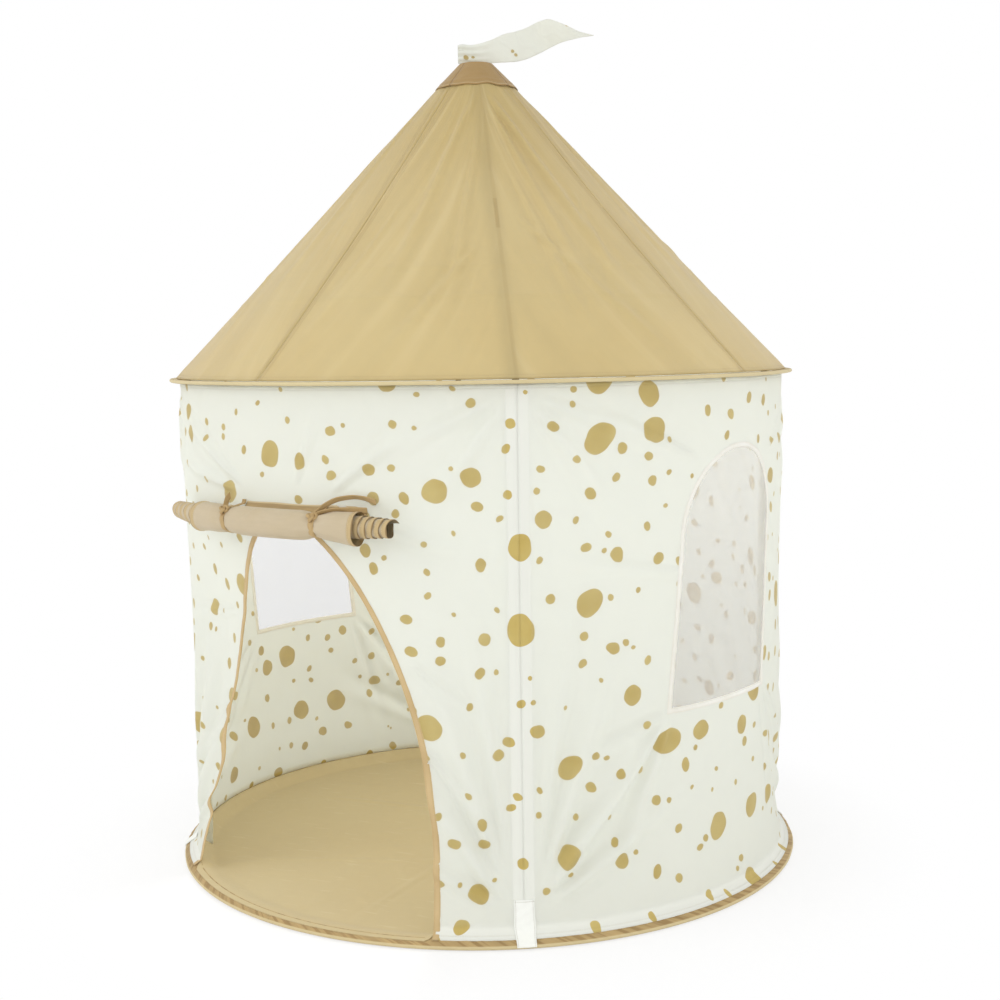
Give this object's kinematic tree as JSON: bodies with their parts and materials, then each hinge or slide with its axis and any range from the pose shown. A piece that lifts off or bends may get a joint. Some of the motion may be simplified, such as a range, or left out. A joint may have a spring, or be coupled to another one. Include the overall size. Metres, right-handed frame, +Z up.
{
  "type": "kids play tent",
  "caption": "Round child's play tent: dotted cloth wall between steel hoops, cone roof on jointed poles, arched doorway with its door rolled up, net windows and a small flag.",
  "frame": {"origin": "on the ground, on the tent's axis, in the middle of the floor sheet's underside", "axes": "+Z up along the tent's axis, the doorway faces -Y, the windows face +X and -X"},
  "size_m": [1.06, 1.0833, 1.4029],
  "materials": {
    "wall_cloth": "cream polyester cloth with gold dots",
    "roof_cloth": "tan polyester cloth",
    "cap_cloth": "tan cloth, doubled",
    "floor_cloth": "tan coated cloth",
    "band_tape": "tan tape",
    "door_cloth": "tan cloth, rolled",
    "net": "white fine net",
    "patch": "white coated cloth",
    "window_tape": "cream tape",
    "fibreglass": "grey glass fibre rod",
    "steel": "plated steel",
    "black_plastic": "moulded black plastic"
  },
  "bodies": {
    "tent": {"floor": "floor_cloth", "base_band": "band_tape", "base_hoop": "steel", "eave_band": "band_tape", "eave_hoop": "steel", "wall_front": "wall_cloth", "wall_right": "wall_cloth", "wall_back": "wall_cloth", "wall_left": "wall_cloth", "door_binding": "band_tape", "window_binding_right": "window_tape", "window_binding_left": "window_tape", "window_net_right": "net", "window_net_left": "net", "pole_front_right_foot_section": "fibreglass", "pole_front_right_wall_section": "fibreglass", "pole_front_right_roof_section": "fibreglass", "pole_front_right_top_section": "fibreglass", "pole_front_right_wall_ferrule": "steel", "pole_front_right_roof_ferrule": "steel", "pole_front_right_elbow": "black_plastic", "pole_back_right_foot_section": "fibreglass", "pole_back_right_wall_section": "fibreglass", "pole_back_right_roof_section": "fibreglass", "pole_back_right_top_section": "fibreglass", "pole_back_right_wall_ferrule": "steel", "pole_back_right_roof_ferrule": "steel", "pole_back_right_elbow": "black_plastic", "pole_back_left_foot_section": "fibreglass", "pole_back_left_wall_section": "fibreglass", "pole_back_left_roof_section": "fibreglass", "pole_back_left_top_section": "fibreglass", "pole_back_left_wall_ferrule": "steel", "pole_back_left_roof_ferrule": "steel", "pole_back_left_elbow": "black_plastic", "pole_front_left_foot_section": "fibreglass", "pole_front_left_wall_section": "fibreglass", "pole_front_left_roof_section": "fibreglass", "pole_front_left_top_section": "fibreglass", "pole_front_left_wall_ferrule": "steel", "pole_front_left_roof_ferrule": "steel", "pole_front_left_elbow": "black_plastic", "apex_hub": "black_plastic", "pole_sleeve_front_right": "window_tape", "pole_sleeve_back_right": "window_tape", "pole_sleeve_back_left": "window_tape", "pole_sleeve_front_left": "window_tape", "foot_patch_front_right": "patch", "foot_patch_back_right": "patch", "foot_patch_back_left": "patch", "foot_patch_front_left": "patch", "roof_gore_front_right": "roof_cloth", "roof_gore_back_right": "roof_cloth", "roof_gore_back_left": "roof_cloth", "roof_gore_front_left": "roof_cloth", "roof_cap": "cap_cloth"},
    "door": {"door_roll": "door_cloth", "tie_left": "door_cloth", "tie_right": "door_cloth"},
    "pennant": {"flag": "wall_cloth"}
  },
  "joints": [
    {"name": "door_swing", "type": "hinge", "parent": "tent", "child": "door", "pos_m": [0, -0.50703, 0.643], "axis": [-1, 0, 0], "range_deg": [0, 45]},
    {"name": "flag_swing", "type": "hinge", "parent": "tent", "child": "pennant", "pos_m": [0, 0, 1.33], "axis": [0, 0, 1], "range_deg": [-60, 60]}
  ]
}
